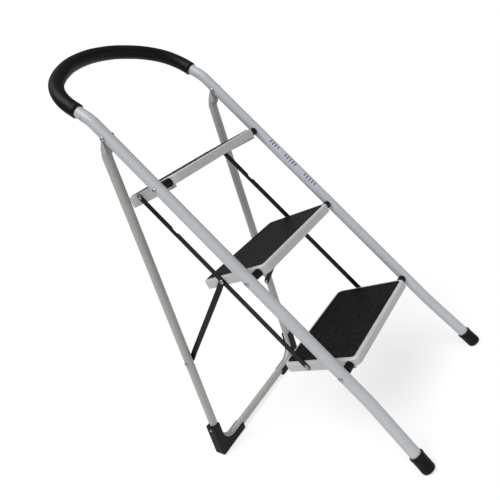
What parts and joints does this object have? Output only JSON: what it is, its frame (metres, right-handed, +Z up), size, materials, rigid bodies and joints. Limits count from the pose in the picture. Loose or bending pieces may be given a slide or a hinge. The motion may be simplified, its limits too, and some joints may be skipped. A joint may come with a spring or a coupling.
{
  "type": "folding step stool",
  "caption": "Folding step stool with flat rubber-covered treads, a padded hoop handrail and a hinged U-shaped support frame held by links and struts.",
  "frame": {"origin": "on the floor, under the middle of the open stool's box", "axes": "+Z up, -Y towards the climber, +Y towards the support legs, +X to the climber's right"},
  "size_m": [0.4342, 0.6176, 1.0571],
  "materials": {
    "frame_paint": "satin light grey powder coat on steel tube",
    "support_paint": "satin grey powder coat on steel tube",
    "tread_paint": "satin light grey powder coat on pressed steel",
    "grip_foam": "matt closed-cell foam",
    "black_rubber": "matt moulded rubber",
    "tread_rubber": "grained anti-slip rubber",
    "black_fittings": "semi-gloss black",
    "rivet_steel": "zinc plated"
  },
  "bodies": {
    "front_frame": {"foam_grip": "grip_foam", "front_tube": "frame_paint", "left_bottom_spacer": "black_fittings", "left_foot_cap": "black_rubber", "left_hinge_rivet": "rivet_steel", "left_middle_spacer": "black_fittings", "left_top_spacer": "black_fittings", "pivot_washers": "rivet_steel", "right_bottom_spacer": "black_fittings", "right_foot_cap": "black_rubber", "right_hinge_rivet": "rivet_steel", "right_middle_spacer": "black_fittings", "right_top_spacer": "black_fittings", "step_rivets": "rivet_steel"},
    "rear_frame": {"left_hinge_fork": "support_paint", "left_rear_shoe": "black_rubber", "rear_tube": "support_paint", "right_hinge_fork": "support_paint", "right_rear_shoe": "black_rubber", "shoe_rivets": "rivet_steel", "strut_rivets": "rivet_steel"},
    "top_step": {"top_link_rivets": "rivet_steel", "top_step_mat": "tread_rubber", "top_step_pan": "tread_paint", "top_step_stiffener": "tread_paint"},
    "middle_step": {"middle_link_rivets": "rivet_steel", "middle_step_mat": "tread_rubber", "middle_step_pan": "tread_paint", "middle_step_stiffener": "tread_paint"},
    "bottom_step": {"bottom_link_rivets": "rivet_steel", "bottom_step_mat": "tread_rubber", "bottom_step_pan": "tread_paint", "bottom_step_stiffener": "tread_paint"},
    "left_link": {"left_link_bar": "black_fittings"},
    "right_link": {"right_link_bar": "black_fittings"},
    "left_strut": {"left_strut_bar": "black_fittings", "left_strut_stud": "rivet_steel"},
    "right_strut": {"right_strut_bar": "black_fittings", "right_strut_stud": "rivet_steel"}
  },
  "joints": [
    {"name": "rear_frame_hinge", "type": "hinge", "parent": "front_frame", "child": "rear_frame", "pos_m": [0, 0.0346, 0.8418], "axis": [-1, 0, 0], "range_deg": [0, 36.7]},
    {"name": "top_step_hinge", "type": "hinge", "parent": "front_frame", "child": "top_step", "pos_m": [0, -0.01964, 0.7041], "axis": [1, 0, 0], "range_deg": [0, 59.25]},
    {"name": "middle_step_hinge", "type": "hinge", "parent": "front_frame", "child": "middle_step", "pos_m": [0, -0.1142, 0.46405], "axis": [1, 0, 0], "range_deg": [0, 59.25]},
    {"name": "bottom_step_hinge", "type": "hinge", "parent": "front_frame", "child": "bottom_step", "pos_m": [0, -0.20876, 0.224], "axis": [1, 0, 0], "range_deg": [0, 59.25]},
    {"name": "left_link_pivot", "type": "hinge", "parent": "middle_step", "child": "left_link", "pos_m": [-0.1527, -0.0046, 0.46585], "axis": [-1, 0, 0], "range_deg": [0, 59.25]},
    {"name": "left_strut_pivot", "type": "hinge", "parent": "left_link", "child": "left_strut", "pos_m": [-0.1527, -0.0046, 0.46585], "axis": [-1, 0, 0], "range_deg": [0, 70.75]},
    {"name": "right_link_pivot", "type": "hinge", "parent": "middle_step", "child": "right_link", "pos_m": [0.1527, -0.0046, 0.46585], "axis": [-1, 0, 0], "range_deg": [0, 59.25]},
    {"name": "right_strut_pivot", "type": "hinge", "parent": "right_link", "child": "right_strut", "pos_m": [0.1527, -0.0046, 0.46585], "axis": [-1, 0, 0], "range_deg": [0, 70.75]}
  ],
  "couplings": [
    {"joint": "top_step_hinge", "follows": "rear_frame_hinge", "ratio": 1.6143},
    {"joint": "middle_step_hinge", "follows": "rear_frame_hinge", "ratio": 1.6143},
    {"joint": "bottom_step_hinge", "follows": "rear_frame_hinge", "ratio": 1.6143},
    {"joint": "left_link_pivot", "follows": "rear_frame_hinge", "ratio": 1.6143},
    {"joint": "left_strut_pivot", "follows": "rear_frame_hinge", "ratio": 1.9278},
    {"joint": "right_link_pivot", "follows": "rear_frame_hinge", "ratio": 1.6143},
    {"joint": "right_strut_pivot", "follows": "rear_frame_hinge", "ratio": 1.9278}
  ]
}
